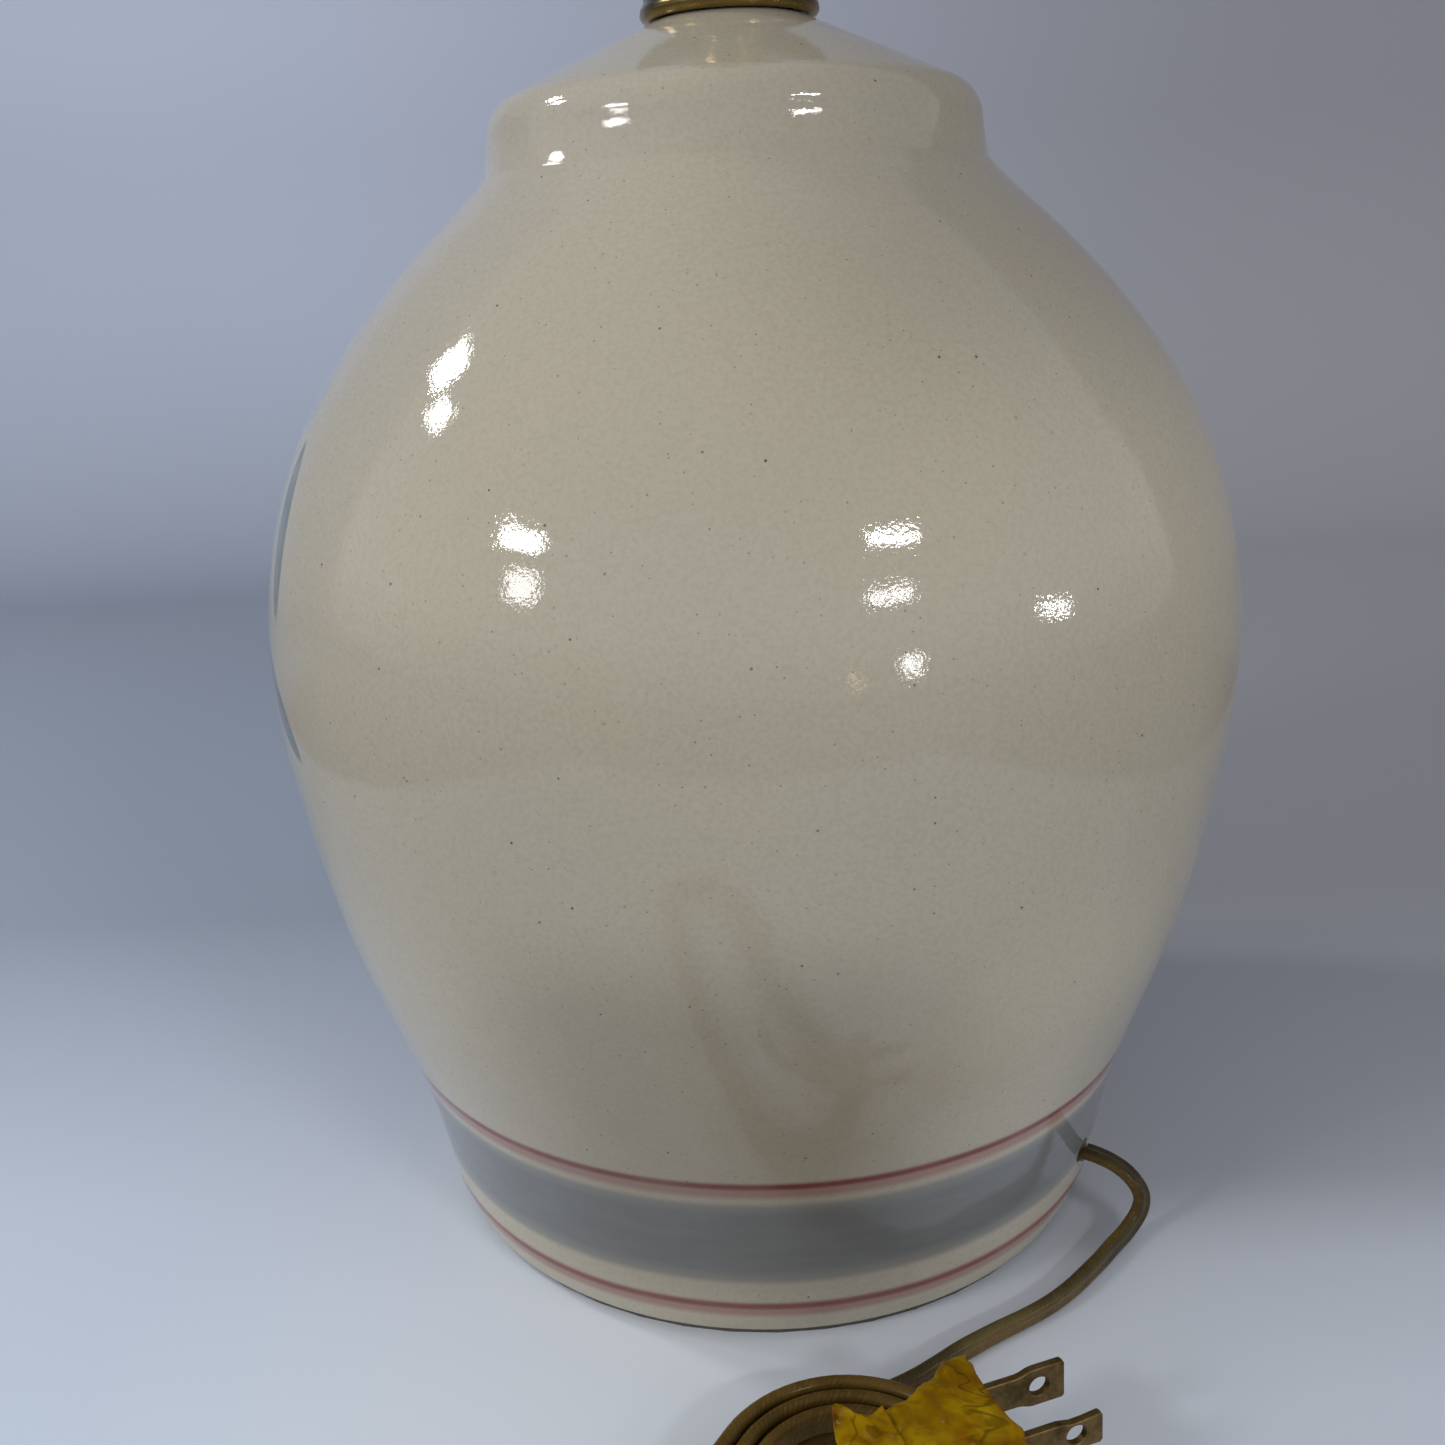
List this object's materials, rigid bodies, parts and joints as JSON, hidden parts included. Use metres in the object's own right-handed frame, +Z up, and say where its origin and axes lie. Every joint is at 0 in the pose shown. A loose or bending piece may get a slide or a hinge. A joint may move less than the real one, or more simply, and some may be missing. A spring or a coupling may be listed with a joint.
{
  "type": "table lamp base",
  "caption": "Jar-shaped glazed ceramic table lamp base with brass fittings, a switched lamp socket, harp saddle, and a flat cord with a plug.",
  "frame": {"origin": "centre of the felt ring's underside, on the surface the lamp stands on", "axes": "+Z up along the body's axis; -Y towards the front, where the switch knob points; +X to the right seen from the front"},
  "size_m": [0.2206, 0.3658, 0.3551],
  "materials": {
    "brass_cap": "polished",
    "cap_set_screw": "zinc plated",
    "centre_contact": "dull",
    "ceramic_body": "glossy speckled glaze",
    "cord_free_run": "translucent soft vinyl",
    "cord_hank": "translucent soft vinyl",
    "cord_plug_run": "translucent soft vinyl",
    "felt_ring": "dense felt",
    "harp_saddle": "dull plated",
    "hex_nut": "zinc plated",
    "inner_cord": "translucent soft vinyl",
    "inner_washer": "zinc plated",
    "insulating_sleeve": "matte fibre",
    "lead_hot": "soft vinyl",
    "lead_neutral": "soft vinyl",
    "lock_nut": "plain",
    "lock_washer": "zinc plated",
    "neck_ring": "polished",
    "plug_blade_narrow": "dull tarnished",
    "plug_blade_wide": "dull tarnished",
    "plug_body": "moulded vinyl",
    "plug_tape": "thin translucent film",
    "screw_shell": "dull",
    "socket_cap": "polished",
    "socket_insulator": "moulded phenolic",
    "socket_shell": "polished",
    "switch_rotor": "matte fibre",
    "switch_spindle": "plain",
    "terminal_plate_hot": "dull",
    "terminal_plate_neutral": "dull",
    "terminal_screw_hot": "bright",
    "terminal_screw_neutral": "nickel plated",
    "threaded_nipple": "dull plated",
    "turn_knob": "moulded phenolic"
  },
  "bodies": {
    "lamp": {"brass_cap": "brass_cap", "cap_set_screw": "cap_set_screw", "centre_contact": "centre_contact", "ceramic_body": "ceramic_body", "cord_free_run": "cord_free_run", "cord_hank": "cord_hank", "cord_plug_run": "cord_plug_run", "felt_ring": "felt_ring", "harp_saddle": "harp_saddle", "hex_nut": "hex_nut", "inner_cord": "inner_cord", "inner_washer": "inner_washer", "insulating_sleeve": "insulating_sleeve", "lead_hot": "lead_hot", "lead_neutral": "lead_neutral", "lock_nut": "lock_nut", "lock_washer": "lock_washer", "neck_ring": "neck_ring", "plug_blade_narrow": "plug_blade_narrow", "plug_blade_wide": "plug_blade_wide", "plug_body": "plug_body", "plug_tape": "plug_tape", "screw_shell": "screw_shell", "socket_cap": "socket_cap", "socket_insulator": "socket_insulator", "socket_shell": "socket_shell", "terminal_plate_hot": "terminal_plate_hot", "terminal_plate_neutral": "terminal_plate_neutral", "terminal_screw_hot": "terminal_screw_hot", "terminal_screw_neutral": "terminal_screw_neutral", "threaded_nipple": "threaded_nipple"},
    "switch_knob": {"switch_rotor": "switch_rotor", "switch_spindle": "switch_spindle", "turn_knob": "turn_knob"}
  },
  "joints": [
    {"name": "switch_knob_turn", "type": "hinge", "parent": "lamp", "child": "switch_knob", "pos_m": [0, -0.019, 0.32166], "axis": [0, -1, 0], "continuous": true}
  ]
}
